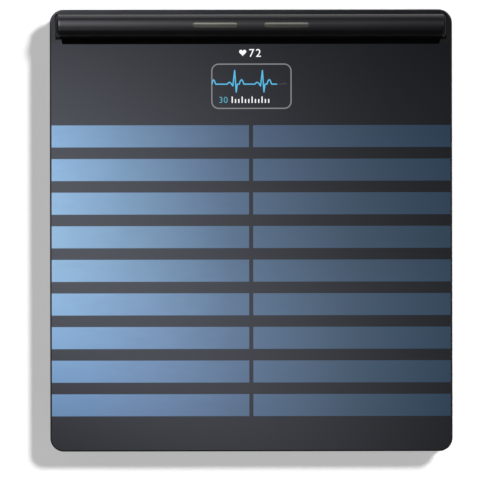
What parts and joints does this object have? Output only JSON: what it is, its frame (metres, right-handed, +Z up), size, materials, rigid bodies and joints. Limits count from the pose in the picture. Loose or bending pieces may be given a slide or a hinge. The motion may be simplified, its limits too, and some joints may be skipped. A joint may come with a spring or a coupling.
{
  "type": "bathroom scale",
  "caption": "Flat bathroom scale with a black glass top, striped foot electrodes, a small screen and a round pull-out hand bar on a retracting cord.",
  "frame": {"origin": "middle of the footprint, on the floor under the rubber feet", "axes": "+X to the right, +Y from the front edge to the edge that holds the bar, +Z up"},
  "size_m": [0.325, 0.357, 0.0398],
  "materials": {
    "platform_glass": "black back-printed tempered glass, polished",
    "electrode_film": "blue-grey reflective conductive coating",
    "dock_black": "gloss black moulding",
    "base_black": "fine matte black moulding",
    "plate_steel": "zinc-plated sheet steel",
    "gasket_grey": "grey adhesive gasket",
    "screen": "dark colour display",
    "frame_steel": "pressed steel tray",
    "flex_amber": "amber flat cable",
    "board_green": "green circuit board",
    "parts_dark": "dark components",
    "battery_blue": "blue foil wrap over a laminate pouch",
    "inner_black": "black inner moulding",
    "foam_grey": "dark foam pad",
    "socket_steel": "bright steel shell",
    "button_black": "satin black cap",
    "cell_aluminium": "milled aluminium",
    "cup_black": "black moulding",
    "pad_rubber": "dark soft rubber",
    "screw_zinc": "zinc-plated steel",
    "screw_black": "blackened steel",
    "lead_grey": "grey insulation",
    "drum_white": "white acetal",
    "ring_gold": "gold-plated tracks",
    "spring_steel": "blued spring steel",
    "cord_black": "black braided sleeve",
    "handle_black": "satin black moulding",
    "electrode_steel": "dull brushed stainless steel"
  },
  "bodies": {
    "base": {"glass_platform": "platform_glass", "foot_electrodes_left": "electrode_film", "foot_electrodes_right": "electrode_film", "rear_dock": "dock_black", "bottom_cover": "base_black", "chassis_plate": "plate_steel", "bond_gasket": "gasket_grey", "display_panel": "screen", "display_frame": "frame_steel", "display_cable": "flex_amber", "main_board": "board_green", "board_parts": "parts_dark", "battery_pack": "battery_blue", "battery_tray": "inner_black", "battery_foam": "foam_grey", "port_board": "board_green", "usb_socket": "socket_steel", "button_switch": "parts_dark", "cell_screws": "screw_zinc", "foot_screws": "screw_zinc", "cover_screws": "screw_black", "inner_screws": "screw_zinc", "sensor_leads": "lead_grey", "inner_leads": "lead_grey", "reel_housing": "inner_black", "reel_cover": "inner_black", "reel_axle": "spring_steel", "brush_block": "parts_dark", "reel_spring": "spring_steel", "reel_cord": "cord_black", "handle_cord": "cord_black", "pulley_pin": "spring_steel", "pulley_bracket": "frame_steel", "cord_eyelet": "socket_steel", "load_cell_front_left": "cell_aluminium", "foot_cup_front_left": "cup_black", "foot_pad_front_left": "pad_rubber", "load_cell_front_right": "cell_aluminium", "foot_cup_front_right": "cup_black", "foot_pad_front_right": "pad_rubber", "load_cell_back_left": "cell_aluminium", "foot_cup_back_left": "cup_black", "foot_pad_back_left": "pad_rubber", "load_cell_back_right": "cell_aluminium", "foot_cup_back_right": "cup_black", "foot_pad_back_right": "pad_rubber"},
    "handle": {"handle_upper_shell": "handle_black", "handle_lower_shell": "handle_black", "thumb_electrode_left": "electrode_steel", "thumb_electrode_right": "electrode_steel", "finger_electrode_left": "electrode_steel", "finger_electrode_right": "electrode_steel", "handle_board": "board_green", "handle_screws": "screw_black", "cord_anchor": "inner_black"},
    "drum": {"reel_drum": "drum_white", "slip_ring": "ring_gold"},
    "pulley": {"guide_pulley": "drum_white"},
    "button": {"setup_button": "button_black"}
  },
  "joints": [
    {"name": "handle_lift", "type": "slide", "parent": "base", "child": "handle", "axis": [0, 0, 1], "range_m": [0, 0.9], "stiffness_N_per_m": 3, "springref_m": -0.6, "deforming": ["handle_cord"]},
    {"name": "reel_spin", "type": "hinge", "parent": "base", "child": "drum", "pos_m": [-0.0295, 0.04, 0.0142], "axis": [0, 0, 1], "range_deg": [0, 1831]},
    {"name": "pulley_spin", "type": "hinge", "parent": "base", "child": "pulley", "pos_m": [0, 0.16055, 0.0124], "axis": [1, 0, 0], "continuous": true},
    {"name": "setup_button_press", "type": "slide", "parent": "base", "child": "button", "axis": [-1, 0, 0], "range_m": [0, 0.0005], "stiffness_N_per_m": 400, "springref_m": -0.0008}
  ],
  "couplings": [
    {"joint": "reel_spin", "follows": "handle_lift", "rad_per_m": 35.5},
    {"joint": "pulley_spin", "follows": "handle_lift", "rad_per_m": 243.9}
  ]
}
